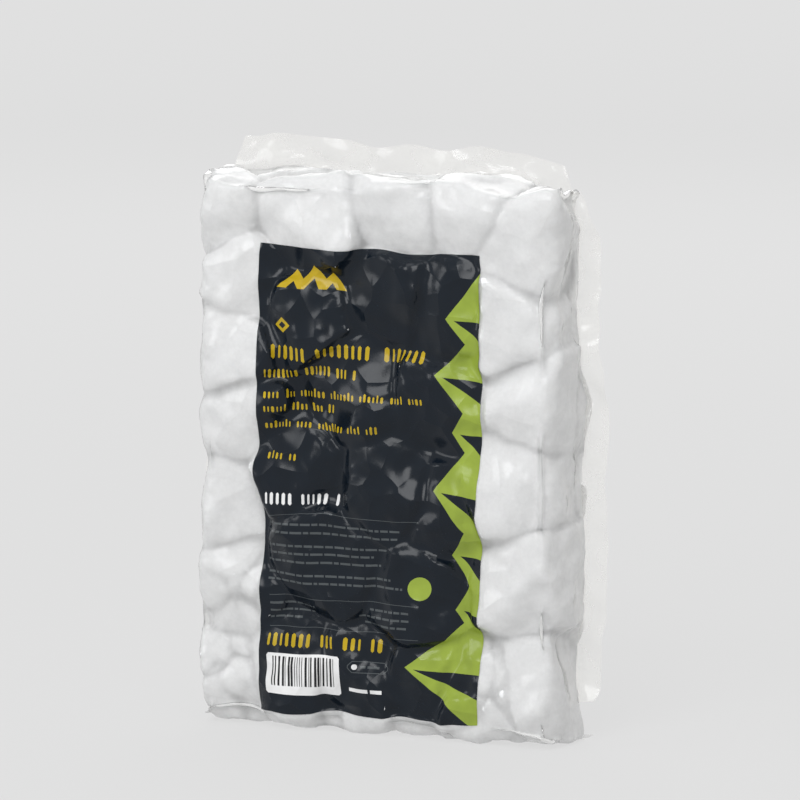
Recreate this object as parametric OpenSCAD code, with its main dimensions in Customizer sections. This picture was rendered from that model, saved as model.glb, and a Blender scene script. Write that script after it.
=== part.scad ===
// Vacuum-sealed pouch of broken magnesium carbonate chalk, standing on its base.
// +X is across the front, -Y is the labelled front and +Z is up.
// The origin is on the floor under the middle of the pouch. Units are millimetres.

/* [Filled pouch] */
// Width of the filled body, between the roots of the two side seals
pack_w = 146; // [140:1:150]
// Depth of the filled body, from the face of the label to the back
pack_d = 44; // [42:1:48]
// Height of the filled body, up to the root of the top seal
pack_h = 208; // [204:1:214]
// How far the seals stand behind the middle of the body
seal_y = 8; // [6:0.5:10]

/* [Film and seals] */
// Wall that one sheet of film takes up with its fine wrinkles
film_t = 0.3; // [0.2:0.05:0.4]
// Thickness of the two sheets where they are welded together
weld_t = 0.4; // [0.3:0.05:0.6]
// Width of the welded margins
seal_w = 10; // [8:0.5:12]
// Height of the side margins' lower ends above the floor
side_seal_z = 12; // [10:1:20]
// How far each end of the top margin is drawn in by the vacuum
top_taper = 5; // [0:0.5:10]

/* [Label] */
// Width of the label
label_w = 90; // [80:1:100]
// Height of the label
label_h = 176; // [160:1:184]
// How far the label's middle is to the right of the pouch's
label_x = -2.5; // [-8:0.5:8]
// Height of the label's lower edge above the floor
label_z = 5; // [4.5:0.5:10]
// Thickness of the label
label_t = 0.2; // [0.1:0.05:0.3]

/* [Chalk] */
// Gap between neighbouring lumps of chalk
chalk_gap = 1.4; // [0.8:0.1:2]
// Steepest slope of a lump's broken face
chalk_slope = 0.28; // [0.1:0.01:0.3]
// Steepest slope of the faces that the outer lumps turn to the sides and the top
side_slope = 0.25; // [0.1:0.01:0.3]

/* [Hidden] */
span = 400;                 // larger than the pouch, for the half spaces that cut the lumps
gap = 0.3;                  // free space between neighbouring sheets, labels and lumps
label_gap = gap / 10;       // free space between the film and the label on it
fold_t = weld_t + gap;      // room under the back for the bottom margin, which is folded beneath it
hinge_gap = 0.5;            // from the body to the root of a margin that folds
layer_y = pack_d / 4;       // the lumps' centres stand this far in front of and behind the middle
cross_y = 9;                // no lump reaches further than this past the middle
near = 80;                  // lumps further apart than this never touch
side_room = 1.6;            // from the body's full width and height to the outer lumps
side_x = 40;                // lumps whose centres are further out than this reach a side
high_z = 170;               // lumps whose centres are higher than this reach the top
corner_steep = 1.4;         // how much steeper than chalk_slope a lump's broken corner is
lean_r = 10;                // a leaning face reaches the film this far from the lump's centre
face_depth = 1.4;           // how much the lumps' faces differ in depth
bulk = 180;                 // how much the lumps differ in size: the difference of their radii, squared
crown_z = 3;                // how much lower the chalk stands at the sides than at the middle of the top

// The pouch's shoulders: the face is smaller than the body by edge_x and edge_z all round,
// and its edge turns back by edge_y.
edge_x = 4;
edge_z = 4;
edge_y = 6;

empty_x = 40;               // the empty corner at the upper right of the back: its width
empty_z = 30;               // and its height

face_w = pack_w - 2 * edge_x;
face_h = pack_h - 2 * edge_z;
face_d = pack_d / 2 - label_t - label_gap; // the film's face, just behind the label's

// The sheets' grid lines: the label's edges lie on them.
label_cols = 14;
label_rows = 21;
margin_cols = 4;
bottom_rows = 1;
top_rows = 3;

function stops(a, b, n) = [for (k = [0:n - 1]) a + (b - a) * k / n];
label_left = label_x - label_w / 2;
label_right = label_x + label_w / 2;
cols = concat(stops(-face_w / 2, label_left, margin_cols), stops(label_left, label_right, label_cols),
              stops(label_right, face_w / 2, margin_cols), [face_w / 2]);
rows = concat(stops(edge_z, label_z, bottom_rows), stops(label_z, label_z + label_h, label_rows),
              stops(label_z + label_h, edge_z + face_h, top_rows), [edge_z + face_h]);
nx = len(cols) - 1;
nz = len(rows) - 1;

// Centres [x, z] of the lumps that lie behind the front sheet, and of those that lie on the back sheet.
front_centres = [
    [-28, 191], [9, 197], [34, 198], [59, 182],
    [51, 157], [62, 126], [52, 96], [60, 62], [64, 20], [44, 15],
    [-67, 189], [-56, 167], [-64, 141], [-57, 117], [-65, 82], [-56, 51], [-61, 20],
    [-28, 156], [6, 164], [32, 158], [-8, 128], [24, 124], [-32, 98], [4, 92],
    [30, 86], [-22, 62], [14, 52], [-36, 27], [-8, 22], [18, 20],
];
back_centres = [
    [-48, 188], [-6, 190], [48, 180], [-54, 138], [-12, 142], [26, 148],
    [58, 122], [-52, 88], [-8, 94], [40, 82], [-50, 34], [-4, 42], [36, 34],
];
// The cells that hold small broken pieces in place of one lump: [layer, cell].
crumb_cells = [[0, 9], [0, 15], [0, 16], [0, 28]];
crumb_names = ["crumbs_right", "crumbs_left_upper", "crumbs_left_lower", "crumbs_bottom"];
crumbs_per_cell = 9;

centres = [front_centres, back_centres];
side_of = [-1, 1];
layer_names = ["front", "back"];

function two(n) = n < 10 ? str("0", n) : str(n);
function is_crumbs(layer, i) = len([for (c = crumb_cells) if (c == [layer, i]) 1]) > 0;
function lump_name(layer, i) = str("chalk_lump_", layer_names[layer], "_", two(i + 1));
lumps = [for (layer = [0, 1]) for (i = [0:len(centres[layer]) - 1]) if (!is_crumbs(layer, i)) [layer, i]];
lump_names = [for (c = lumps) lump_name(c[0], c[1])];

film_names = ["front_film", "back_film", "top_seal", "bottom_seal", "left_seal", "right_seal", "front_label"];

// ---- The lumps' faces ----

function centre(layer, i) =
    [centres[layer][i].x, side_of[layer] * layer_y, centres[layer][i].y];

// A lump with more weight takes more of the space between itself and its neighbours.
weights = [for (layer = [0, 1]) rands(0, bulk, len(centres[layer]), 60 + layer)];

// Each lump has a broken face that leans to one side, and a second one that takes off a corner.
// A face is [how far it stands out at the lump's centre, its slope along X, its slope along Z].
function broken_face(depth, slope, turn) = [face_d - depth, slope * cos(turn), slope * sin(turn)];
function broken_faces(layer, i) =
    let (r = rands(0, 1, 5, 31 * i + 500 * layer + 7), turn = 360 * r[0],
         slope = chalk_slope * (0.4 + 0.6 * r[1]))
    [broken_face(slope * lean_r + face_depth * r[2], slope, turn),
     broken_face(slope * lean_r - face_depth * (0.5 + r[3]), corner_steep * chalk_slope,
                 turn + 70 + 220 * r[4])];

faces = [for (layer = [0, 1]) [for (i = [0:len(centres[layer]) - 1]) broken_faces(layer, i)]];

// The longest line inside one cell of the sheets' grid.
cell = norm([cols[margin_cols + 1] - cols[margin_cols], rows[bottom_rows + 1] - rows[bottom_rows]]);

// How far out a lump reaches at the point [x, z], with room for a ridge between two grid points.
function reach(layer, i, p) =
    let (c = centres[layer][i])
    min([for (f = faces[layer][i])
        f[0] - f[1] * (p.x - c.x) - f[2] * (p.y - c.y) + cell / 2 * norm([f[1], f[2]])]);

// The film bridges the lumps: at a point it stands as far out as any lump that comes within one cell of it.
function skin(layer, x, z) =
    let (p = [x, z],
         away = [for (i = [0:len(centres[layer]) - 1]) norm(p - centres[layer][i]) ^ 2 - weights[layer][i]],
         first = search(min(away), away)[0],
         shares = [for (i = [0:len(away) - 1])
             (away[i] - away[first]) / max(1, 2 * norm(centres[layer][i] - centres[layer][first]))])
    min(face_d, max([for (i = [0:len(away) - 1]) if (shares[i] < cell) reach(layer, i, p)]) + gap + film_t);

function on_border(i, j) = i == 0 || j == 0 || i == nx || j == nz;
skins = [for (layer = [0, 1])
    [for (i = [0:nx]) [for (j = [0:nz]) on_border(i, j) ? face_d : skin(layer, cols[i], rows[j])]]];

// ---- The film ----

function grid_points(layer, inset) =
    [for (i = [0:nx]) for (j = [0:nz]) [cols[i], inset - skins[layer][i][j], rows[j]]];
// The grid's border as indexes, anticlockwise from the front, from the lower left corner.
border = concat([for (i = [0:nx - 1]) i * (nz + 1)], [for (j = [0:nz - 1]) nx * (nz + 1) + j],
                [for (i = [nx:-1:1]) i * (nz + 1) + nz], [for (j = [nz:-1:1]) j]);
// The same border moved out to the body's full width and height, at one depth.
function wall_loop(y, floor_z, inset) =
    [for (k = border)
        let (x = cols[floor(k / (nz + 1))], z = rows[k % (nz + 1)])
        [x * (pack_w - 2 * inset) / face_w, y,
         floor_z + inset + (z - edge_z) * (pack_h - floor_z - 2 * inset) / face_h]];

function quad(a, b, c, d) = [[a, b, c], [a, c, d]];
function flipped(list) = [for (f = list) [f[2], f[1], f[0]]];
function flat(list) = [for (part = list) each part];
function sheet_faces(nu, nv, start) =
    flat([for (i = [0:nu - 1]) for (j = [0:nv - 1])
        let (a = start + i * (nv + 1) + j) quad(a, a + 1, a + nv + 2, a + nv + 1)]);
function strip_faces(from, to) =
    flat([for (k = [0:len(from) - 1])
        let (n = (k + 1) % len(from)) quad(from[k], from[n], to[n], to[k])]);
function counted(start, n) = [for (k = [0:n - 1]) start + k];

// One sheet drawn over a layer of lumps, as a tray that is open at the seals.
// rim_y is where its rim stands and floor_z is how high its lower side stands.
module tray(layer, rim_y, floor_z) {
    grid_n = (nx + 1) * (nz + 1);
    loop_n = len(border);
    surface_n = grid_n + 2 * loop_n;
    function skin_points(inset) =
        concat(grid_points(layer, inset), wall_loop(edge_y - face_d, floor_z, inset),
               wall_loop(rim_y, floor_z, inset));
    outer = concat(sheet_faces(nx, nz, 0), strip_faces(border, counted(grid_n, loop_n)),
                   strip_faces(counted(grid_n, loop_n), counted(grid_n + loop_n, loop_n)));
    inner = [for (f = flipped(outer)) [f[0] + surface_n, f[1] + surface_n, f[2] + surface_n]];
    rim = strip_faces(counted(grid_n + loop_n, loop_n), counted(surface_n + grid_n + loop_n, loop_n));
    polyhedron(concat(skin_points(0), skin_points(film_t)), concat(outer, inner, rim));
}

module front_film() {
    color("whitesmoke") tray(0, seal_y - gap / 2, 0);
}

module back_film() {
    color("whitesmoke") mirror([0, 1, 0]) tray(1, -seal_y - gap / 2, fold_t);
}

// ---- The welded margins ----

// A margin that stands up in the plane of the seals: outline holds [x, z] points.
module margin(outline) {
    color("gainsboro") translate([0, seal_y + weld_t / 2, 0])
        rotate([90, 0, 0]) linear_extrude(weld_t) polygon(outline);
}

// side is -1 for the left and 1 for the right. The outer edge curves in to meet the top margin.
module side_seal(side) {
    root = pack_w / 2 + hinge_gap;
    bend_z = 0.8 * pack_h;
    curve = [for (turn = [0:15:90])
        [side * (root + seal_w * cos(turn)), bend_z + (pack_h - bend_z) * sin(turn)]];
    margin(concat([[side * root, side_seal_z], [side * (root + seal_w), side_seal_z + seal_w / 2]], curve));
}

module top_seal() {
    root = pack_w / 2 + hinge_gap;
    low = pack_h + hinge_gap;
    margin([[-root, low], [root, low], [root - top_taper, low + seal_w], [-root + top_taper, low + seal_w]]);
}

// The bottom margin is folded under the back, so that the pouch stands on its own floor.
module bottom_seal() {
    color("gainsboro") translate([-pack_w / 2, seal_y + gap / 2, 0]) cube([pack_w, seal_w, weld_t]);
}

// ---- The label ----

module front_label() {
    first = [margin_cols, bottom_rows];
    function label_points(lift) =
        [for (i = [0:label_cols]) for (j = [0:label_rows])
            let (u = first.x + i, v = first.y + j) [cols[u], -skins[0][u][v] - lift, rows[v]]];
    side_n = (label_cols + 1) * (label_rows + 1);
    rim = concat([for (i = [0:label_cols - 1]) i * (label_rows + 1)],
                 [for (j = [0:label_rows - 1]) label_cols * (label_rows + 1) + j],
                 [for (i = [label_cols:-1:1]) i * (label_rows + 1) + label_rows],
                 [for (j = [label_rows:-1:1]) j]);
    color("midnightblue") polyhedron(
        concat(label_points(label_gap + label_t), label_points(label_gap)),
        concat(sheet_faces(label_cols, label_rows, 0),
               flipped(sheet_faces(label_cols, label_rows, side_n)),
               strip_faces(rim, [for (k = rim) k + side_n])));
}

// ---- The chalk ----

// The outer lumps have broken faces towards the sides and the top as well.
// A plane is [a point on it, the direction it faces].
function side_planes(layer, i) =
    let (c = centre(layer, i), r = rands(-1, 1, 6, 53 * i + 700 * layer + 11),
         out = sign(c.x), side = pack_w / 2 - side_room,
         top = pack_h - side_room - crown_z * (2 * c.x / pack_w) ^ 2)
    concat(
        abs(c.x) < side_x ? [] : [for (k = [0, 1])
            [[out * (side - r[k]), c.y, c.z], [out, side_slope * r[2 + k], side_slope * r[4 + k]]]],
        c.z < high_z ? [] : [for (k = [0, 1])
            [[c.x, c.y, top - r[2 - k]], [side_slope * r[5 - k], side_slope * r[3 - k], 1]]]);

// The plane between a lump and its neighbour o, which has the weight w.
function parting(layer, i, o, w) =
    let (c = centre(layer, i), d = norm(o - c), share = d / 2 + (weights[layer][i] - w) / (2 * d))
    [c + (o - c) / d * (share - chalk_gap / 2), o - c];

// Everything that bounds a lump, apart from the film.
function lump_planes(layer, i) =
    let (c = centre(layer, i), side = side_of[layer],
         others = [for (m = [0, 1]) for (k = [0:len(centres[m]) - 1])
             if ([m, k] != [layer, i] && norm(centre(m, k) - c) < near) [m, k]])
    concat([for (o = others) parting(layer, i, centre(o[0], o[1]), weights[o[0]][o[1]])],
           [for (f = faces[layer][i]) [[c.x, side * f[0], c.z], [f[1], side, f[2]]]],
           side_planes(layer, i),
           [[[0, -side * cross_y, 0], [0, -side, 0]]]);

// Everything behind the plane.
module half_space(plane) {
    n = plane[1];
    translate(plane[0]) rotate([0, acos(n.z / norm(n)), atan2(n.y, n.x)])
        translate([-span, -span, -2 * span]) cube(2 * span);
}

// A rectangle w wide and d deep with its four corners cut off by cut = [along the width, along the depth].
module cut_corners(w, d, cut) {
    side = [w / 2, d / 2 - cut.y];
    end = [w / 2 - cut.x, d / 2];
    polygon([[-side.x, -side.y], [-end.x, -end.y], [end.x, -end.y], [side.x, -side.y],
             [side.x, side.y], [end.x, end.y], [-end.x, end.y], [-side.x, side.y]]);
}

// The space inside the film. The chalk doesn't fill the upper right corner at the back.
module inside() {
    room = 2 * (film_t + gap);
    floor_z = film_t + gap + fold_t;
    top_z = pack_h - film_t - gap;
    intersection() {
        translate([0, 0, floor_z]) linear_extrude(top_z - floor_z)
            cut_corners(pack_w - room, 2 * face_d - room, [edge_x, edge_y]);
        translate([-span / 2, 0, (floor_z + top_z) / 2]) rotate([0, 90, 0]) linear_extrude(span)
            cut_corners(top_z - floor_z, 2 * face_d - room, [edge_z, edge_y]);
        half_space([[pack_w / 2, face_d, pack_h - empty_z], [1 / empty_x, 1 / (2 * face_d), 1 / empty_z]]);
    }
}

// The lump's share of the space: what is nearer to its centre than to any other centre, by weight.
module lump(layer, i) {
    intersection() {
        inside();
        intersection_for (plane = lump_planes(layer, i)) half_space(plane);
    }
}

module chalk_lump(layer, i) {
    color("white") lump(layer, i);
}

// Small pieces that share one lump's space: each keeps what is nearest to its own centre.
module crumbs(layer, i) {
    c = centre(layer, i);
    r = rands(-1, 1, 3 * crumbs_per_cell, 900 + i);
    spread = [17, 9, 15];
    seeds = [for (k = [0:crumbs_per_cell - 1])
        [c.x + spread.x * r[3 * k], c.y + spread.y * r[3 * k + 1], c.z + spread.z * r[3 * k + 2]]];
    color("snow") for (k = [0:crumbs_per_cell - 1]) intersection() {
        lump(layer, i);
        intersection_for (m = [for (m = [0:crumbs_per_cell - 1]) if (m != k) m])
            let (d = seeds[m] - seeds[k])
            half_space([(seeds[k] + seeds[m]) / 2 - d / norm(d) * chalk_gap / 3, d]);
    }
}

front_film();
back_film();
top_seal();
bottom_seal();
side_seal(-1);  // left_seal
side_seal(1);  // right_seal
front_label();
for (k = [0:len(crumb_cells) - 1])
    crumbs(crumb_cells[k][0], crumb_cells[k][1]);
for (c = lumps)
    chalk_lump(c[0], c[1]);
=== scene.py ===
import math

import bmesh
import bpy
import numpy as np
from mathutils import Matrix, Vector
from mathutils.geometry import delaunay_2d_cdt


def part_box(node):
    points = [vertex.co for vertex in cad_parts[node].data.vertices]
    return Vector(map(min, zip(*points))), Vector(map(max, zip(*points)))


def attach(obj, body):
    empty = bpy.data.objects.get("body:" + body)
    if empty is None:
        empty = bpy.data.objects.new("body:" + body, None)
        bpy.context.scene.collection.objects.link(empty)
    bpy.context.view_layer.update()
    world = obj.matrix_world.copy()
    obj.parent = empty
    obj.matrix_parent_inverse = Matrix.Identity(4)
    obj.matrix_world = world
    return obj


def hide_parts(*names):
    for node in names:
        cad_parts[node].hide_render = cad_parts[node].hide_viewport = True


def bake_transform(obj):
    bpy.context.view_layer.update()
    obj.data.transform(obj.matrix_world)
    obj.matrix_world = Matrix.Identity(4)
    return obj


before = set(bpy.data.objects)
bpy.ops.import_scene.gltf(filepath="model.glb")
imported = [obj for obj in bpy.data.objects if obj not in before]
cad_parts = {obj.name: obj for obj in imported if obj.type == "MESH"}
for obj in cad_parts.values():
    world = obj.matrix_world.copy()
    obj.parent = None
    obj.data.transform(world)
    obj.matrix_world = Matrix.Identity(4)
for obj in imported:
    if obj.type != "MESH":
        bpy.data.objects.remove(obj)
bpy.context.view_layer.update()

scene = bpy.context.scene

# Shapes are worked out in millimetres and turned into metres when a mesh is made.
MM = 0.001


def size_of(node):
    """A CAD node's lowest and highest corners, in millimetres."""
    low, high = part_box(node)
    return np.array(low) / MM, np.array(high) / MM


# ---- Measures, from the frame ----

front_low, front_high = size_of("front_film")
back_high = size_of("back_film")[1]
label_low, label_high = size_of("front_label")
side_low, side_high = size_of("right_seal")
top_low, top_high = size_of("top_seal")
fold_low, fold_high = size_of("bottom_seal")

pack_w = front_high[0] - front_low[0]
pack_h = front_high[2]
seal_y = (top_low[1] + top_high[1]) / 2
seal_w = side_high[0] - side_low[0]
face_y = -front_low[1]
label_w = label_high[0] - label_low[0]
label_h = label_high[2] - label_low[2]

# The pouch's shoulders, as in the CAD model.
edge_x, edge_y, edge_z = 4.0, 6.0, 4.0


# ---- Camera ----

def aim(azimuth, elevation):
    """The camera's right, up and back vectors. Azimuth 0 looks along +Y."""
    a, e = math.radians(azimuth), math.radians(elevation)
    right = Vector((math.cos(a), math.sin(a), 0))
    back = Vector((math.sin(a) * math.cos(e), -math.cos(a) * math.cos(e), math.sin(e)))
    return right, back.cross(right), back


def add_camera():
    """A long lens, a little to the right of the front and a little above it."""
    view_w = 0.296                      # metres across the picture, at the pouch
    aim_up, aim_right = 0.1216, 0.0022  # from the origin to the middle of the picture
    data = bpy.data.cameras.new("camera")
    data.lens = 300
    data.sensor_width = 36
    right, up, back = aim(24, 8)
    spot = aim_right * right + aim_up * up + view_w * data.lens / data.sensor_width * back
    camera = bpy.data.objects.new("camera", data)
    camera.matrix_world = Matrix.Translation(spot) @ Matrix((right, up, back)).transposed().to_4x4()
    scene.collection.objects.link(camera)
    scene.camera = camera


add_camera()


# ---- Node helpers ----

def new_material(name):
    """An empty node material: its tree, and a function that adds a node and links its inputs."""
    material = bpy.data.materials.new(name)
    material.use_nodes = True
    tree = material.node_tree
    tree.nodes.clear()

    def add(kind, inputs=None, **settings):
        node = tree.nodes.new("ShaderNode" + kind)
        for key, value in settings.items():
            setattr(node, key, value)
        for key, value in (inputs or {}).items():
            if isinstance(value, bpy.types.NodeSocket):
                tree.links.new(value, node.inputs[key])
            else:
                node.inputs[key].default_value = value
        return node

    return material, add


def ramp(add, factor, stops):
    """A colour ramp on factor. stops holds (position, colour) pairs."""
    node = add("ValToRGB", {"Fac": factor})
    elements = node.color_ramp.elements
    while len(elements) < len(stops):
        elements.new(0.5)
    for element, (position, colour) in zip(elements, stops):
        element.position = position
        element.color = (*colour, 1)
    return node.outputs["Color"]


# ---- Studio ----

# The brightness of the background, of the floor and of the light from all round.
studio_grey = 0.745


def add_floor():
    """A wide pale floor that fades into the background: it has the same brightness as the world."""
    half = 40.0
    corners = [(-half, -half, 0), (half, -half, 0), (half, half, 0), (-half, half, 0)]
    mesh = bpy.data.meshes.new("studio_floor")
    mesh.from_pydata(corners, [], [(0, 1, 2, 3)])
    floor = bpy.data.objects.new("studio_floor", mesh)
    scene.collection.objects.link(floor)
    material, add = new_material("studio_paper")
    # Mostly a glow, so that the floor stays even. The rest takes the pouch's soft shadow. The glow is weaker
    # near the pouch, where the lights add to it.
    matt = 0.14             # the share that isn't glow
    paper = 0.72            # the paper's own brightness
    lit = 0.042             # what the lights add near the pouch
    near_at, far_at = 0.3, 3.5
    far = studio_grey * (1 - matt * paper) / (1 - matt)
    near = far - lit / (1 - matt)
    away = add("VectorMath", {0: add("TexCoord").outputs["Object"]}, operation="LENGTH")
    level = add("MapRange", {"Value": away.outputs["Value"], "From Min": near_at, "From Max": far_at,
                             "To Min": near, "To Max": far}, interpolation_type="SMOOTHSTEP")
    shade = add("BsdfDiffuse", {"Color": (paper, paper, paper, 1)})
    glow = add("Emission", {"Color": (1, 1, 1, 1), "Strength": level.outputs["Result"]})
    both = add("MixShader", {0: matt, 1: glow.outputs[0], 2: shade.outputs["BSDF"]})
    add("OutputMaterial", {"Surface": both.outputs[0]})
    mesh.materials.append(material)


def add_light(name, azimuth, elevation, distance, size, power, colour=(1, 1, 1)):
    """A square area light that faces the middle of the pouch."""
    data = bpy.data.lights.new(name, "AREA")
    data.size = size
    data.energy = power
    data.color = colour
    right, up, back = aim(azimuth, elevation)
    lamp = bpy.data.objects.new(name, data)
    centre = Vector((0, 0, pack_h / 2 * MM))
    lamp.matrix_world = (Matrix.Translation(centre + back * distance)
                         @ Matrix((right, up, back)).transposed().to_4x4())
    scene.collection.objects.link(lamp)


def add_world():
    """Even white light from all round."""
    world = bpy.data.worlds.new("studio")
    world.use_nodes = True
    background = world.node_tree.nodes["Background"]
    background.inputs["Color"].default_value = (1, 1, 1, 1)
    background.inputs["Strength"].default_value = studio_grey
    scene.world = world


add_floor()
add_world()
# Name, azimuth, elevation, distance, size, power and colour.
add_light("key_softbox", 4, 38, 1.6, 0.8, 11.0, (0.98, 0.99, 1.0))
add_light("left_card", -52, 14, 1.4, 0.45, 2.2, (0.98, 0.99, 1.0))
add_light("top_card", 25, 68, 1.4, 0.5, 1.6, (0.98, 0.99, 1.0))
add_light("fill_card", 80, 15, 1.8, 1.4, 0.8, (1.0, 0.93, 0.84))
add_light("back_card", 200, 35, 1.8, 1.4, 9.0)
scene.view_settings.view_transform = "Standard"


# ---- The lumps' shapes ----

class Lump:
    """One closed solid of chalk: the planes that bound it, rounded off and roughened."""

    # Broken corners: planes that cut off from least_cut to most_cut of the way to the solid's centre.
    corners = 7
    least_cut, most_cut = 0.03, 0.2
    # How strongly the broken corners favour the pouch's outer side, and about half of its depth.
    outward_share, half_d = 1.1, 14.0
    # Three sets of gentle waves make the broken surface uneven.
    wave_count = 8
    wave_lengths = (22.0, 9.0, 4.0)
    wave_heights = (0.15, 0.09, 0.05)
    # What the rounding takes off the faces, given back.
    swell = 0.3

    def __init__(self, points, planes, seed, rounding):
        rng = np.random.default_rng(seed)
        self.low, self.high = points.min(0), points.max(0)
        self.centre = points.mean(0)
        self.rounding = rounding
        outer = (self.centre - [0, seal_y, pack_h / 2]) / [pack_w / 2, self.half_d, pack_h / 2]
        cuts = rng.normal(size=(self.corners, 3)) + self.outward_share * outer
        cuts /= np.linalg.norm(cuts, axis=1)[:, None]
        reach = (points @ cuts.T).max(0)
        depth = rng.uniform(self.least_cut, self.most_cut, len(cuts)) * (reach - self.centre @ cuts.T)
        self.normals = np.concatenate([planes[:, :3], cuts])
        self.offsets = np.concatenate([planes[:, 3], reach - depth])
        lengths = np.repeat(self.wave_lengths, self.wave_count)
        turns = rng.normal(size=(len(lengths), 3))
        self.waves = turns / np.linalg.norm(turns, axis=1)[:, None] * (2 * math.pi / lengths)[:, None]
        self.phases = rng.uniform(0, 2 * math.pi, len(lengths))
        self.heights = np.repeat(self.wave_heights, self.wave_count)

    def field(self, p):
        """About the distance in millimetres from the surface to each point, negative inside."""
        reach = (p @ self.normals.T - self.offsets) / self.rounding
        top = reach.max(axis=1)
        field = self.rounding * (top + np.log(np.exp(reach - top[:, None]).sum(axis=1)))
        return field - self.swell + np.sin(p @ self.waves.T + self.phases) @ self.heights


def islands_of(bm):
    """The vertices of each separate part of the mesh."""
    seen = set()
    for start in bm.verts:
        if start in seen:
            continue
        island, queue = [], [start]
        seen.add(start)
        while queue:
            vert = queue.pop()
            island.append(vert)
            for edge in vert.link_edges:
                other = edge.other_vert(vert)
                if other not in seen:
                    seen.add(other)
                    queue.append(other)
        yield island


def planes_of(island, points):
    """The planes of a part's faces, as rows of a normal and an offset.

    Faces count as one plane when their normals and offsets round to the same steps.
    """
    normal_steps, offset_steps = 200, 5
    sides = {}
    for face in dict.fromkeys(f for v in island for f in v.link_faces):
        normal = np.array(face.normal)
        offset = float((points @ normal).max())
        key = tuple(np.round([*(normal * normal_steps), offset * offset_steps]).astype(int))
        sides[key] = (*normal, offset)
    return np.array([sides[key] for key in sorted(sides)])


def solids_in(node, rounding):
    """The separate closed solids of a CAD node, as lumps."""
    bm = bmesh.new()
    bm.from_mesh(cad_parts[node].data)
    bmesh.ops.remove_doubles(bm, verts=bm.verts, dist=1e-6)
    bm.normal_update()
    found = []
    for island in islands_of(bm):
        points = np.array([v.co for v in island]) / MM
        found.append((points, planes_of(island, points)))
    bm.free()
    found.sort(key=lambda item: tuple(np.round(item[0].mean(0), 2)))
    seed = sum(map(ord, node)) * 100
    return [Lump(points, planes, seed + k, rounding) for k, (points, planes) in enumerate(found)]


# How far the edges of the lumps and of the crumbs are rounded.
lump_rounding, crumb_rounding = 0.6, 0.5
lump_nodes = sorted(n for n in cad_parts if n.startswith("chalk_lump"))
crumb_nodes = sorted(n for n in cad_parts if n.startswith("crumbs"))
solids = {n: solids_in(n, lump_rounding) for n in lump_nodes}
solids.update({n: solids_in(n, crumb_rounding) for n in crumb_nodes})


def ball_grid(n):
    """Directions and quads of a sphere made from a cube's six sides, n quads along each edge."""
    index, directions, quads = {}, [], []
    for axis in range(3):
        for side in (-1, 1):
            def corner(i, j):
                a, b = math.tan((2 * i / n - 1) * math.pi / 4), math.tan((2 * j / n - 1) * math.pi / 4)
                point = np.roll([side, a, b], axis)
                key = tuple(np.round(point, 6) + 0.0)
                if key not in index:
                    index[key] = len(directions)
                    directions.append(point / np.linalg.norm(point))
                return index[key]
            for i in range(n):
                for j in range(n):
                    quad = [corner(i, j), corner(i + 1, j), corner(i + 1, j + 1), corner(i, j + 1)]
                    quads.append(quad if side > 0 else quad[::-1])
    return np.array(directions), np.array(quads)


def surface_of(lump, directions):
    """Points on the lump's surface along the directions from its centre, found by marching outward."""
    steps, stride = 28, 0.85
    reach = np.zeros(len(directions))
    for _ in range(steps):
        reach -= stride * lump.field(lump.centre + directions * reach[:, None])
    return lump.centre + directions * reach[:, None]


def add_mesh(name, points, faces, material):
    """A smooth mesh object from points in millimetres."""
    mesh = bpy.data.meshes.new(name)
    mesh.from_pydata((np.asarray(points) * MM).tolist(), [], np.asarray(faces).tolist())
    mesh.polygons.foreach_set("use_smooth", [True] * len(mesh.polygons))
    mesh.validate()
    thing = bpy.data.objects.new(name, mesh)
    scene.collection.objects.link(thing)
    mesh.materials.append(material)
    return thing


# ---- Materials ----

def chalk_material():
    """Dry broken magnesium carbonate: matt white, with powdery grain and faint grey hollows."""
    material, add = new_material("chalk")
    place = add("TexCoord").outputs["Object"]
    cloud = add("TexNoise", {"Vector": place, "Scale": 60.0, "Detail": 3.0})
    grain = add("TexNoise", {"Vector": place, "Scale": 900.0, "Detail": 4.0, "Roughness": 0.65})
    pits = add("TexVoronoi", {"Vector": place, "Scale": 420.0, "Randomness": 1.0})
    colour = ramp(add, cloud.outputs["Fac"], [(0.3, (0.85, 0.855, 0.865)), (0.65, (0.90, 0.905, 0.915))])
    height = add("Math", {0: grain.outputs["Fac"], 1: pits.outputs["Distance"]}, operation="ADD")
    bump = add("Bump", {"Height": height.outputs[0], "Strength": 0.35, "Distance": 0.0003})
    shade = add("BsdfPrincipled", {"Base Color": colour, "Roughness": 0.92, "Specular IOR Level": 0.2,
                                   "Normal": bump.outputs["Normal"]})
    add("OutputMaterial", {"Surface": shade.outputs["BSDF"]})
    return material


def crumple(add, place, scale, depth, normal=None):
    """A bump of sharp creases, like those of film that was crumpled and drawn tight again."""
    bend = add("TexNoise", {"Vector": place, "Scale": 0.6 * scale, "Detail": 1.0})
    apart = add("VectorMath", {0: bend.outputs["Color"], "Scale": 0.5 / scale}, operation="SCALE")
    warped = add("VectorMath", {0: place, 1: apart.outputs["Vector"]}, operation="ADD")
    cells = add("TexVoronoi", {"Vector": warped.outputs["Vector"], "Scale": scale})
    inputs = {"Height": cells.outputs["Distance"], "Strength": 1.0, "Distance": depth}
    if normal:
        inputs["Normal"] = normal
    return add("Bump", inputs)


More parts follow.
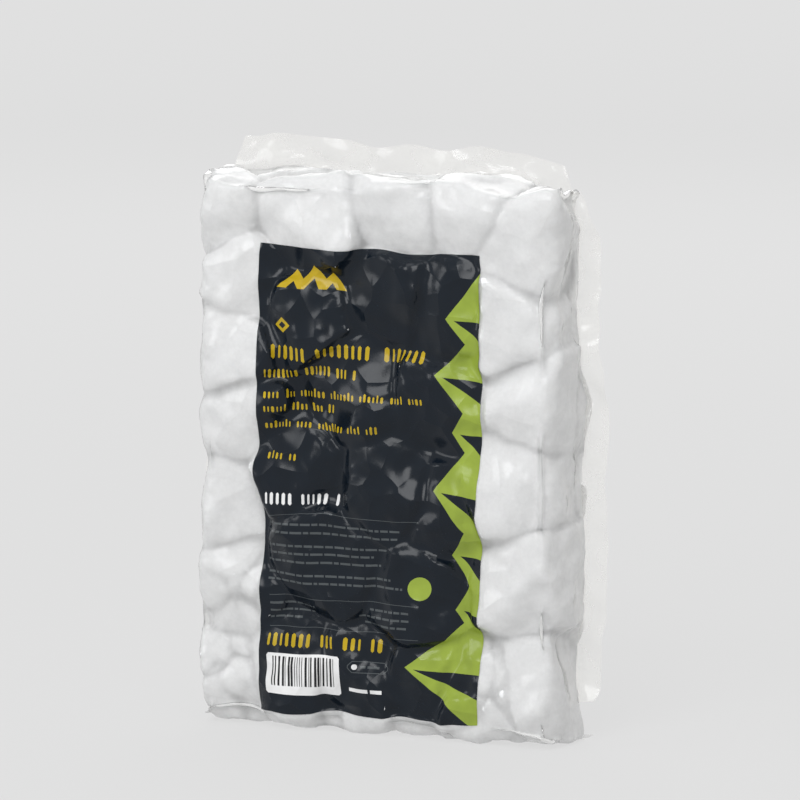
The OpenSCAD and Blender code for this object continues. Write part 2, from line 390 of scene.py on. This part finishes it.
def film_material(name, clean, dusty, tint):
    """Clear glossy pouch film: it shows what is behind it and reflects the lights.

    Chalk dust on its inner face scatters light: by clean where the film stands off the chalk, by dusty where
    it touches. The mesh's dust attribute says which.
    """
    material, add = new_material(name)
    place = add("TexCoord").outputs["Object"]
    ripple = add("TexNoise", {"Vector": place, "Scale": 260.0, "Detail": 3.0, "Distortion": 0.6})
    fine = add("Bump", {"Height": ripple.outputs["Fac"], "Strength": 0.12, "Distance": 0.0006})
    bump = crumple(add, place, 60.0, 0.0026, fine.outputs["Normal"])
    cloud = add("TexNoise", {"Vector": place, "Scale": 70.0, "Detail": 5.0, "Roughness": 0.6})
    patchy = add("MapRange", {"Value": cloud.outputs["Fac"], "From Min": 0.25, "From Max": 0.75,
                              "To Min": 0.7, "To Max": 1.3})
    touch = add("Attribute", attribute_name="dust")
    haze = add("MapRange", {"Value": touch.outputs["Fac"], "To Min": clean, "To Max": dusty})
    amount = add("Math", {0: haze.outputs["Result"], 1: patchy.outputs["Result"]}, operation="MULTIPLY",
                 use_clamp=True)
    clear = add("BsdfTransparent", {"Color": (0.985, 0.985, 0.98, 1)})
    soft = add("BsdfDiffuse", {"Color": (*tint, 1), "Normal": bump.outputs["Normal"]})
    through = add("BsdfTranslucent", {"Color": (*tint, 1)})
    scatter = add("MixShader", {0: 0.5, 1: soft.outputs[0], 2: through.outputs[0]})
    body = add("MixShader", {0: amount.outputs[0], 1: clear.outputs[0], 2: scatter.outputs[0]})
    shine = add("BsdfGlossy", {"Color": (1, 1, 1, 1), "Roughness": 0.14, "Normal": bump.outputs["Normal"]})
    edge = add("Fresnel", {"IOR": 1.35, "Normal": bump.outputs["Normal"]})
    film = add("MixShader", {0: edge.outputs[0], 1: body.outputs[0], 2: shine.outputs[0]})
    add("OutputMaterial", {"Surface": film.outputs[0]})
    return material


def ink_material(name, colour, roughness):
    """One printed colour of the label, under its gloss: creased film with slight wear."""
    material, add = new_material(name)
    place = add("TexCoord").outputs["Object"]
    tone = add("TexNoise", {"Vector": place, "Scale": 120.0, "Detail": 3.0})
    worn = tuple(0.82 * c for c in colour)
    mixed = ramp(add, tone.outputs["Fac"], [(0.3, worn), (0.7, colour)])
    bump = crumple(add, place, 75.0, 0.0028)
    shade = add("BsdfPrincipled", {"Base Color": mixed, "Roughness": roughness, "IOR": 1.34,
                                   "Normal": bump.outputs["Normal"]})
    add("OutputMaterial", {"Surface": shade.outputs["BSDF"]})
    return material


chalk = chalk_material()
clear_film = film_material("clear_film", 0.46, 0.86, (0.94, 0.94, 0.935))
welded_film = film_material("welded_film", 0.26, 0.4, (0.97, 0.955, 0.92))
# Every printed colour, in the order of the label's material slots.
inks = {
    "base": ink_material("label_navy", (0.004, 0.008, 0.014), 0.2),
    "foil": ink_material("label_foil", (0.50, 0.35, 0.012), 0.2),
    "green": ink_material("label_green", (0.29, 0.38, 0.05), 0.22),
    "white": ink_material("label_white", (0.80, 0.80, 0.80), 0.25),
    "grey": ink_material("label_grey", (0.075, 0.085, 0.09), 0.2),
    "black": ink_material("label_black", (0.015, 0.015, 0.017), 0.2),
}


# ---- The lumps ----

def add_lumps():
    """Each chalk node's solids as one object."""
    lump_ball, crumb_ball = ball_grid(26), ball_grid(12)
    for node, lumps in solids.items():
        directions, quads = lump_ball if len(lumps) == 1 else crumb_ball
        points = [surface_of(lump, directions) for lump in lumps]
        faces = [quads + k * len(directions) for k in range(len(lumps))]
        piece = add_mesh("look_" + node, np.concatenate(points), np.concatenate(faces), chalk)
        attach(piece, "pouch")
        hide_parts(node)


add_lumps()


# ---- The space around the lumps ----

class Space:
    """A grid of distances to the nearest lump, read by interpolation between its points."""

    def __init__(self, lumps, pitch=1.4, margin=9.0):
        self.pitch = pitch
        self.low = np.array([-pack_w / 2 - margin, -face_y - margin, -margin])
        self.count = np.ceil((np.array([pack_w / 2, back_high[1], pack_h]) + margin - self.low) / pitch)
        self.count = self.count.astype(int) + 1
        self.values = np.full(self.count, margin)
        for lump in lumps:
            first = np.maximum(np.floor((lump.low - margin - self.low) / pitch).astype(int), 0)
            last = np.minimum(np.ceil((lump.high + margin - self.low) / pitch).astype(int) + 1, self.count)
            axes = [self.low[k] + pitch * np.arange(first[k], last[k]) for k in range(3)]
            points = np.stack(np.meshgrid(*axes, indexing="ij"), axis=-1).reshape(-1, 3)
            part = self.values[first[0]:last[0], first[1]:last[1], first[2]:last[2]]
            np.minimum(part, lump.field(points).reshape(part.shape), out=part)

    def read(self, p):
        """Distances at the points, and the directions in which they grow."""
        q = np.clip((p - self.low) / self.pitch, 0, self.count - 1.001)
        cell = q.astype(int)
        f = q - cell
        step = np.array([self.count[1] * self.count[2], self.count[2], 1])
        base = cell @ step
        flat = self.values.ravel()
        corner = {(i, j, k): flat[base + i * step[0] + j * step[1] + k]
                  for i in (0, 1) for j in (0, 1) for k in (0, 1)}
        fx, fy, fz = f.T
        along_z = {(i, j): corner[i, j, 0] * (1 - fz) + corner[i, j, 1] * fz for i in (0, 1) for j in (0, 1)}
        along_y = {i: along_z[i, 0] * (1 - fy) + along_z[i, 1] * fy for i in (0, 1)}
        value = along_y[0] * (1 - fx) + along_y[1] * fx
        slope_x = along_y[1] - along_y[0]
        slope_y = (along_z[0, 1] - along_z[0, 0]) * (1 - fx) + (along_z[1, 1] - along_z[1, 0]) * fx
        slope_z = sum((corner[i, j, 1] - corner[i, j, 0]) * (fx if i else 1 - fx) * (fy if j else 1 - fy)
                      for i in (0, 1) for j in (0, 1))
        slope = np.stack([slope_x, slope_y, slope_z], axis=1)
        return value, slope / np.maximum(np.linalg.norm(slope, axis=1), 1e-9)[:, None]


# ---- The pouch's film ----

class Film:
    """The front and back sheets and their free margins as one net of points.

    Each sheet is a face grid, then rings that run from the face's border to the root of the seal, which both
    sheets share. The margins are strips that grow out of the root. flat keeps the net as it was laid out.
    """

    def __init__(self, pitch=1.3):
        self.points = np.zeros((0, 3))
        self.nx = 2 * round((pack_w - 2 * edge_x) / pitch / 2)
        self.nz = 2 * round((pack_h - 2 * edge_z) / pitch / 2)
        if (self.nx + self.nz) % 2:
            self.nz += 1
        self.front_face = self.add_face(-face_y)
        # The root stands in a little from the body's full size.
        self.root = self.add(self.loop(seal_y, 0.4))
        self.front_wall = self.add_wall(self.front_face, -face_y, 24)
        self.back_face = self.add_face(back_high[1])
        self.back_wall = self.add_wall(self.back_face, back_high[1], 12)
        n, m = self.nx, self.nz
        self.margins = {
            "right": self.add_margin(self.root[n:n + m + 1], (1, 0)),
            "top": self.add_margin(self.root[n + m:2 * n + m + 1], (0, 1)),
            "left": self.add_margin(np.append(self.root[2 * n + m:], self.root[0]), (-1, 0)),
        }
        self.flat = self.points.copy()

    def add(self, points):
        """Add the points to the net. Returns their ids, in the same shape."""
        first = len(self.points)
        self.points = np.concatenate([self.points, points.reshape(-1, 3)])
        return (first + np.arange(points.size // 3)).reshape(points.shape[:-1])

    def add_face(self, y):
        """A flat grid for the face of one sheet."""
        x = np.linspace(-pack_w / 2 + edge_x, pack_w / 2 - edge_x, self.nx + 1)
        z = np.linspace(edge_z, pack_h - edge_z, self.nz + 1)
        gx, gz = np.meshgrid(x, z, indexing="ij")
        return self.add(np.stack([gx, np.full_like(gx, y), gz], axis=-1))

    def border_of(self, face):
        """The face's border, anticlockwise from the front, from its lower left corner."""
        return np.concatenate([face[:-1, 0], face[-1, :-1], face[:0:-1, -1], face[0, :0:-1]])

    def loop(self, y, out):
        """The border moved to y, and outwards: out is 0 for the face's own size and 1 for the body's."""
        edge = self.points[self.border_of(self.front_face)]
        grow = np.array([edge_x / (pack_w / 2 - edge_x), 0, edge_z / (pack_h / 2 - edge_z)])
        middle = np.array([0, 0, pack_h / 2])
        moved = middle + (edge - middle) * (1 + grow * out)
        moved[:, 1] = y
        return moved

    def add_wall(self, face, face_at, rings):
        """Rings from the face's border over the shoulder and along the side to the root."""
        side = np.sign(face_at)
        shoulder = math.hypot(edge_y, edge_x)
        length = shoulder + abs(seal_y - face_at) - edge_y
        rows = [self.border_of(face)]
        for k in range(1, rings):
            s = length * k / rings
            if s < shoulder:
                out, y = s / shoulder, face_at - side * edge_y * s / shoulder
            else:
                out, y = 1, face_at - side * (edge_y + s - shoulder)
            rows.append(self.add(self.loop(y, out)))
        rows.append(self.root)
        ids = np.stack(rows)
        return np.concatenate([ids, ids[:, :1]], axis=1)

    def add_margin(self, root, out):
        """A strip of film that stands out from part of the root, with rounded or tapered ends."""
        start = self.points[root]
        rows = 8
        if out[0]:
            # A side margin is rounded off at its upper end and a little narrower at its lower one.
            bend, narrow, least_w = 0.8 * pack_h, 0.25, 2.0
            high = np.clip((start[:, 2] - bend) / (pack_h - bend), 0, 1)
            width = seal_w * np.sqrt(1 - high ** 2)
            width *= np.clip((start[:, 2] - side_low[2]) / (seal_w / 2), 0, 1) * narrow + (1 - narrow)
            keep = (start[:, 2] > side_low[2]) & (width > least_w)
            lean = 0.0
        else:
            # The vacuum drew less of the margin in at its left end.
            extra, extra_to, fade, uneven, taper = 0.4, 0.18 * pack_w, 5, 0.15, 5
            width = seal_w * (1 + extra / (1 + np.exp((start[:, 0] + extra_to) / fade)))
            width *= 1 + uneven * soft_noise(start * [1, 0, 0], 8, 25.0)
            keep = np.ones(len(start), bool)
            lean = (top_high[0] - taper) / top_high[0] - 1
        root, start, width = root[keep], start[keep], width[keep]
        ids = [root]
        for k in range(1, rows + 1):
            row = start.copy()
            row[:, 0] = row[:, 0] * (1 + lean * k / rows) + out[0] * width * k / rows
            row[:, 2] += out[1] * width * k / rows
            ids.append(self.add(row))
        return np.stack(ids)

    def grids(self):
        """Every grid of the net, with how stiff it is."""
        yield self.front_face, 1.0
        yield self.back_face, 1.0
        yield self.front_wall, 1.0
        yield self.back_wall, 1.0
        for strip in self.margins.values():
            yield strip, 2.5


# How much of a pair's stretch is taken back in a step: along the net, across it, and two points apart.
side_pull, cross_pull, bend_pull = 0.5, 0.18, 0.12


def pairs_in(grid, stiffness):
    """Batches of (first ids, second ids, pull, push) in which no id comes twice.

    Pull resists when the pair is stretched. Push resists when it is shortened, and is None where the film may
    fold: the pairs two steps apart push back, and so stiffen the film against bending.
    """
    for rows in (grid, grid.T):
        for odd in (0, 1):
            yield rows[:, :-1][:, odd::2].ravel(), rows[:, 1:][:, odd::2].ravel(), side_pull, None
    for a, b in ((grid[:-1, :-1], grid[1:, 1:]), (grid[:-1, 1:], grid[1:, :-1])):
        for odd in (0, 1):
            yield a[:, odd::2].ravel(), b[:, odd::2].ravel(), cross_pull, None
    for rows in (grid, grid.T):
        if rows.shape[1] < 5:
            continue
        for first in range(4):
            a, b = rows[:, :-2][:, first::4], rows[:, 2:][:, first::4]
            yield a.ravel(), b.ravel(), bend_pull, bend_pull * stiffness


def pairs_over(face, wall):
    """The pairs that stiffen the border between a face and its wall, except at the face's four corners."""
    near = np.concatenate([face[:-1, 1], face[-2, :-1], face[:0:-1, -2], face[1, :0:-1]])
    corners = [face[i, j].ravel() for i in (slice(2), slice(-2, None)) for j in (slice(2), slice(-2, None))]
    straight = ~np.isin(near, np.concatenate(corners))
    return near[straight], wall[1, :-1][straight], bend_pull, bend_pull


def soft_noise(p, seed, length, count=24):
    """Smooth noise from -1 to 1 at the points, with waves about length millimetres long."""
    rng = np.random.default_rng(seed)
    turns = rng.normal(size=(count, 3))
    turns *= (2 * math.pi / length / np.linalg.norm(turns, axis=1))[:, None]
    waves = np.sin(p @ turns.T + rng.uniform(0, 2 * math.pi, count))
    return waves.sum(axis=1) / math.sqrt(count / 2) / 2


def quads_of(grid):
    """The grid's quads."""
    return np.stack([grid[:-1, :-1], grid[1:, :-1], grid[1:, 1:], grid[:-1, 1:]], axis=-1).reshape(-1, 4)


def outward(x, quads, still):
    """Each point's outward direction, and nought for the points in still."""
    across = np.cross(x[quads[:, 2]] - x[quads[:, 0]], x[quads[:, 3]] - x[quads[:, 1]])
    normals = np.stack([np.bincount(quads.ravel(), np.repeat(across[:, k], 4), len(x)) for k in range(3)],
                       axis=1)
    normals /= np.maximum(np.linalg.norm(normals, axis=1), 1e-9)[:, None]
    normals[still] = 0
    return normals


def pull_together(x, batches, loose):
    """Move each pair of points towards its rest length. A pair that may fold pushes back only by loose."""
    for a, b, pull, push, rest in batches:
        span = x[a] - x[b]
        length = np.sqrt(np.einsum("ij,ij->i", span, span)) + 1e-9
        off = (length - rest) / length
        off *= np.where(off > 0, pull, loose if push is None else push)
        span *= off[:, None]
        x[a] -= span
        x[b] += span


def lift_off(x, space, gap):
    """Move the points that are within gap of a lump away from it. Returns which, and their directions."""
    distance, away = space.read(x)
    touch = distance < gap
    x[touch] += (gap - distance[touch])[:, None] * away[touch]
    return touch, away[touch]


def draw_vacuum(film, space, rounds):
    """Let the film down onto the lumps: pressure pushes it in, and its own length resists.

    In the first half the film is pulled tight, as it is when the spare film is drawn away into the seals.
    Then it keeps the length it has and a little more, which folds into creases, most of all on the label.
    """
    tight = 0.955                   # the film's rest length in the first half, as a share of its own
    pressure, loose = 0.03, 0.03    # in the first half
    low_pressure, low_loose, low_bend = 0.006, 0.25, 0.5
    keep_speed, friction = 0.8, 0.35
    film_gap = 0.35                 # how far the film's middle stays off the lumps
    smooth_gap = 0.7 * film_gap
    floor_gap = 0.35
    margin_hold = 0.15              # how firmly the margins keep to their waves
    turns_per_look = 6              # the pressure's directions are found anew after so many turns
    smoothings = 5
    x = film.points.copy()
    face = film.front_face
    on_label = ((x[face, 0] > label_low[0]) & (x[face, 0] < label_high[0])
                & (x[face, 2] > label_low[2]) & (x[face, 2] < label_high[2]))
    labelled = np.zeros(len(x))
    labelled[face[on_label]] = 1
    # The film's spare length in the second half, as a share: most of it is under the label.
    spare = 0.002 + 0.005 * soft_noise(x, 5, 26.0) + labelled * (0.026 + 0.026 * soft_noise(x, 6, 20.0))
    batches = [list(pair) for grid, stiffness in film.grids() for pair in pairs_in(grid, stiffness)
               if len(pair[0])]
    batches.append(list(pairs_over(film.front_face, film.front_wall)))
    batches.append(list(pairs_over(film.back_face, film.back_wall)))
    for batch in batches:
        batch.append(tight * np.linalg.norm(x[batch[0]] - x[batch[1]], axis=1))
    quads = np.concatenate([quads_of(g) for g in (film.front_face, film.front_wall)]
                           + [quads_of(g)[:, ::-1] for g in (film.back_face, film.back_wall)])
    strips = np.concatenate([s[1:].ravel() for s in film.margins.values()])
    still = np.concatenate([strips, film.root])
    # The free margins are wavy, and the film is a little uneven to begin with.
    wave = 1.6 * soft_noise(x[strips], 9, 40.0) + 1.3 * soft_noise(x[strips], 10, 13.0)
    x[:, 1] += 0.3 * soft_noise(x, 3, 9.0)
    last = x.copy()
    for turn in range(rounds):
        if turn == rounds // 2:
            # The second half: small waves start the label's creases.
            loose, pressure = low_loose, low_pressure
            x[:, 1] += 0.7 * soft_noise(x, 4, 11.0) * labelled
            for batch in batches:
                a, b = batch[:2]
                if batch[3] is not None:
                    batch[3] *= low_bend
                batch[4] = np.linalg.norm(x[a] - x[b], axis=1) * (1 + (spare[a] + spare[b]) / 2)
        if turn % turns_per_look == 0:
            normals = outward(x, quads, still)
        before = x.copy()
        x += keep_speed * (x - last) - pressure * normals
        last = before
        pull_together(x, batches, loose)
        touch, away = lift_off(x, space, film_gap)
        drift = x[touch] - last[touch]
        drift -= (drift * away).sum(1)[:, None] * away
        x[touch] -= friction * drift
        x[film.root, 1] = seal_y
        x[strips, 1] += margin_hold * (seal_y + wave - x[strips, 1])
        x[:, 2] = np.maximum(x[:, 2], floor_gap)
    for _ in range(smoothings):
        for face in (film.front_face, film.back_face):
            net = x[face]
            middle = (net[:-2, 1:-1] + net[2:, 1:-1] + net[1:-1, :-2] + net[1:-1, 2:]) / 4
            x[face[1:-1, 1:-1]] = 0.5 * net[1:-1, 1:-1] + 0.5 * middle
        lift_off(x, space, smooth_gap)
    return x


rounds, quick_rounds = 260, 8
space = Space([lump for lumps in solids.values() for lump in lumps])
film = Film()
film.points = draw_vacuum(film, space, rounds)


def add_film_piece(name, quads, material):
    """Part of the film's net as its own object, with how dusty it is at each point."""
    most, fade_d = 1.2, 2.0         # dust at the chalk, and the distance over which it fades by one
    used, faces = np.unique(quads, return_inverse=True)
    piece = add_mesh(name, film.points[used], faces.reshape(-1, 4), material)
    distance, _ = space.read(film.points[used])
    dust = piece.data.attributes.new("dust", "FLOAT", "POINT")
    dust.data.foreach_set("value", np.clip(most - distance / fade_d, 0, 1).astype(np.float32))
    return piece


def add_sheets():
    """The front and back sheets, each with its walls."""
    for side, face, wall, y in (("front", film.front_face, film.front_wall, -face_y),
                                ("back", film.back_face, film.back_wall, back_high[1])):
        quads = np.concatenate([quads_of(face), quads_of(wall)])
        if y > 0:
            quads = quads[:, ::-1]
        piece = add_film_piece("look_" + side + "_film", quads, clear_film)
        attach(piece, "pouch")
        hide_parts(side + "_film")


def add_margins():
    """The free margins, each as its own piece of film."""
    root_x, root_z, side_z, bend_w = side_low[0], top_low[2], 110, 0.002
    ends = {"right": ((root_x, seal_y, side_z), (1, 0, 0)), "left": ((-root_x, seal_y, side_z), (-1, 0, 0)),
            "top": ((0, seal_y, root_z), (0, 0, 1))}
    for side, strip in film.margins.items():
        piece = add_film_piece("look_" + side + "_seal", quads_of(strip), welded_film)
        root, out = ends[side]
        start = Vector(root) * MM
        end = start + Vector(out) * bend_w
        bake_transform(piece)
        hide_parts(side + "_seal")
        net = film.flat[strip]
        long = np.linalg.norm(np.diff(net[len(net) // 2], axis=0), axis=1).sum()


# ---- The label's print ----

class Print:
    """Flat shapes on the label: u runs from its left edge, v down from its top edge, in millimetres.

    Rows of plain blocks and bars stand where the lines of print are. They say nothing.
    """

    def __init__(self):
        self.shapes = []
        self.rng = np.random.default_rng(41)

    def shape(self, outline, ink):
        """Lay one flat shape over those before it."""
        self.shapes.append((outline, ink))

    def block(self, u, v, w, h, ink, corner=0.0):
        """A bar with its top left corner at u, v. Its corners are cut by corner."""
        c = corner
        if c:
            outline = [(u + c, v), (u + w - c, v), (u + w, v + c), (u + w, v + h - c),
                       (u + w - c, v + h), (u + c, v + h), (u, v + h - c), (u, v + c)]
        else:
            outline = [(u, v), (u + w, v), (u + w, v + h), (u, v + h)]
        self.shape(outline, ink)

    def disc(self, u, v, radius, ink, steps=28):
        """A round spot with its centre at u, v."""
        turns = np.linspace(0, 2 * math.pi, steps, endpoint=False)
        self.shape([(u + radius * math.cos(t), v + radius * math.sin(t)) for t in turns], ink)

    def line(self, u, v, width, height, ink, even=False):
        """A row of upright blocks from u to u + width, in groups. Unless it is even, most are a little lower.

        Everything but width is in proportion to the height.
        """
        narrowest, widest = 0.13, 0.34
        low, corner, apart, between_groups = 0.74, 0.12, 0.25, 0.8
        at, left = u, 0
        while at < u + width - 0.3 * height:
            if not left:
                left = self.rng.integers(3, 9)
            w = height * self.rng.uniform(narrowest, widest)
            tall = even or self.rng.random() < 0.3
            h = height if tall else low * height
            w = min(w, u + width - at)
            self.block(at, v + height - h, w, h, ink, corner * height)
            left -= 1
            at += w + height * (apart if left else between_groups)

    def dashes(self, u, v, width, height, ink):
        """A row of short bars from u to u + width, for print too small to read."""
        at = u
        while at < u + width - height:
            w = min(height * self.rng.uniform(1.6, 6.0), u + width - at)
            self.block(at, v, w, height, ink)
            at += w + 0.75 * height


def label_print():
    """What is printed on the label, in the order in which it is laid down."""
    page = Print()
    # The mark and the icon are plain peaks and a plain diamond.
    page.shape([(9, 16.5), (15, 8.5), (18.4, 12.6), (23, 6.5), (27.6, 12.4), (30.5, 9.6), (36, 16.5),
                (32, 16.5), (30.2, 14.1), (28.4, 16.5), (25.6, 16.5), (22.8, 12.2), (19.4, 16.5),
                (17, 16.5), (15, 13.6), (12.8, 16.5)], "foil")
    page.shape([(11, 26.8), (14.6, 29.6), (11, 32.4), (7.4, 29.6)], "foil")
    page.shape([(11, 28.3), (12.7, 29.6), (11, 30.9), (9.3, 29.6)], "base")
    # Rows of blocks for the large print.
    page.line(5.5, 37.0, 40.5, 5.4, "foil", True)
    page.line(50.0, 37.0, 20.5, 5.4, "foil", True)
    page.line(3.0, 46.0, 38.5, 3.6, "foil", True)
    page.line(3.0, 54.0, 65.5, 3.2, "foil")
    page.line(3.0, 58.9, 28.5, 3.2, "foil")
    page.line(3.0, 65.6, 48.5, 3.2, "foil")
    page.line(5.0, 77.0, 11.2, 3.4, "foil")
    page.line(5.3, 91.6, 28.2, 4.4, "white", True)
    # The small print, between thin rules.
    for v in (99.7, 130.8, 143.2):
        page.block(4, v, 62, 0.22, "grey")
    for v, width in ((103.4, 56), (106.4, 54), (111.2, 50), (114.0, 44), (117.0, 47), (121.8, 52),
                     (124.6, 57)):
        page.dashes(3.2, v, width, 0.8, "grey")
    for v, left, right in ((133.4, 19, 17), (136.2, 18, 22), (139.0, 13, 20)):
        page.dashes(4.2, v, left, 0.8, "grey")
        page.dashes(62.5 - right, v, right, 0.8, "grey")
    page.line(4.0, 145.8, 48.0, 5.0, "foil", True)
    # Uneven bars that say nothing, on a white block, and a pill with a dot.
    page.block(4.0, 153.2, 29.8, 15.4, "white", 0.8)
    at = 6.6
    while at < 31.0:
        w = page.rng.choice([0.28, 0.28, 0.56, 0.84])
        page.block(at, 154.3, w, 11.0, "black")
        at += w + page.rng.choice([0.3, 0.3, 0.6, 0.9])
    page.block(37.2, 154.2, 15.6, 4.6, "grey", 1.8)
    page.block(37.5, 154.5, 15.0, 4.0, "base", 1.6)
    page.disc(39.9, 156.5, 1.1, "white", 12)
    page.dashes(42.2, 156.0, 8.6, 0.95, "grey")
    page.dashes(37.5, 164.8, 15.2, 1.4, "white")
    # A range of plain peaks runs up the right edge, each with its shaded side, and a sun stands beside it.
    edge = 90
    peaks = ((77, 24, 17), (72, 46, 20), (79, 66, 18), (72, 88, 23), (78, 112, 19), (79, 132, 16),
             (61, 155, 24))
    for u, v, half in peaks:
        page.shape([(edge, v - half), (u, v), (edge, v + half)], "green")
    for u, v, half in peaks:
        page.shape([(u + 3, v + 0.5), (edge, v + 0.08 * half), (edge, v + 0.46 * half)], "base")
    page.disc(66.5, 124.5, 4.2, "green")
    return page.shapes


def fine_outline(outline, step):
    """The outline, anticlockwise, with no edge longer than step, so that it can follow a creased surface."""
    if sum(a[0] * b[1] - a[1] * b[0] for a, b in zip(outline, outline[1:] + outline[:1])) < 0:
        outline = outline[::-1]
    fine = []
    for a, b in zip(outline, outline[1:] + outline[:1]):
        parts = max(1, math.ceil(math.dist(a, b) / step))
        fine += [(a[0] + (b[0] - a[0]) * k / parts, a[1] + (b[1] - a[1]) * k / parts) for k in range(parts)]
    return fine


def on_front(x, z):
    """Points of the front sheet's face at the flat places x, z, and its outward directions there."""
    net = film.points[film.front_face]
    i = (x + pack_w / 2 - edge_x) / (pack_w - 2 * edge_x) * film.nx
    j = (z - edge_z) / (pack_h - 2 * edge_z) * film.nz
    i0 = np.clip(np.floor(i).astype(int), 1, film.nx - 2)
    j0 = np.clip(np.floor(j).astype(int), 1, film.nz - 2)

    def weights(f):
        """The shares of four points in a row in a smooth curve through them, and in its slope."""
        f2, f3 = f * f, f * f * f
        value = np.stack([-f3 + 2 * f2 - f, 3 * f3 - 5 * f2 + 2, -3 * f3 + 4 * f2 + f, f3 - f2]) / 2
        slope = np.stack([-3 * f2 + 4 * f - 1, 9 * f2 - 10 * f, -9 * f2 + 8 * f + 1, 3 * f2 - 2 * f]) / 2
        return value, slope

    wi, si = weights(i - i0)
    wj, sj = weights(j - j0)
    place, along_x, along_z = (np.zeros((len(x), 3)) for _ in range(3))
    for a in range(4):
        for b in range(4):
            corner = net[i0 + a - 1, j0 + b - 1]
            place += (wi[a] * wj[b])[:, None] * corner
            along_x += (si[a] * wj[b])[:, None] * corner
            along_z += (wi[a] * sj[b])[:, None] * corner
    out = np.cross(along_x, along_z)
    return place, out / np.linalg.norm(out, axis=1)[:, None]


def add_label():
    """The printed label: one creased sheet on the front of the film. Its faces follow the printed shapes."""
    step = 1.0
    lift = 0.16                     # from the film's middle to the label's face
    shapes = label_print()
    points, loops = [], []
    edge = fine_outline([(0, 0), (label_w, 0), (label_w, label_h), (0, label_h)], step)
    for outline in [edge] + [fine_outline(shape, step) for shape, _ in shapes]:
        loops.append(list(range(len(points), len(points) + len(outline))))
        points += [(min(max(u, 0), label_w), min(max(v, 0), label_h)) for u, v in outline]
    for u in np.arange(step, label_w - step / 2, step):
        shift = 0.5 * step * (round(u / step) % 2)
        points += [(u, v) for v in np.arange(step / 2 + shift, label_h - step / 3, step)]
    flat, _, faces, _, _, owners = delaunay_2d_cdt([Vector(p) for p in points], [], loops, 1, 1e-4)
    flat = np.array([tuple(p) for p in flat])
    place, out = on_front(flat[:, 0] + label_low[0], label_low[2] + label_h - flat[:, 1])
    place += lift * out
    faces = [face[::-1] for face in faces]
    names = list(inks)
    piece = add_mesh("look_front_label", place, faces, inks["base"])
    for name in names[1:]:
        piece.data.materials.append(inks[name])
    # A face's owners are the outlines it lies in: the last one laid down shows, and 0 is the label itself.
    slots = [names.index(shapes[max(owner) - 1][1]) if max(owner) else 0 for owner in owners]
    piece.data.polygons.foreach_set("material_index", slots)
    piece.data.normals_split_custom_set_from_vertices(out.tolist())
    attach(piece, "pouch")
    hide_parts("front_label")


def add_fold():
    """The bottom margin, folded under the back and pressed flat."""
    long, deep = 118, 9             # points along the margin and across it
    inset, tuck, height = 0.4, 0.3, 0.2
    x = np.linspace(fold_low[0] + inset, fold_high[0] - inset, long)
    y = np.linspace(fold_low[1] - tuck, fold_high[1], deep)
    gx, gy = np.meshgrid(x, y, indexing="ij")
    points = np.stack([gx, gy, np.full_like(gx, height)], axis=-1).reshape(-1, 3)
    points[:, 2] += 0.12 * soft_noise(points, 21, 14.0)
    points[:, 1] += 0.35 * soft_noise(points * [1, 0, 0], 22, 30.0)
    ids = np.arange(long * deep).reshape(long, deep)
    piece = add_mesh("look_bottom_seal", points, quads_of(ids), welded_film)
    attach(piece, "pouch")
    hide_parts("bottom_seal")


add_sheets()
add_margins()
add_fold()
add_label()
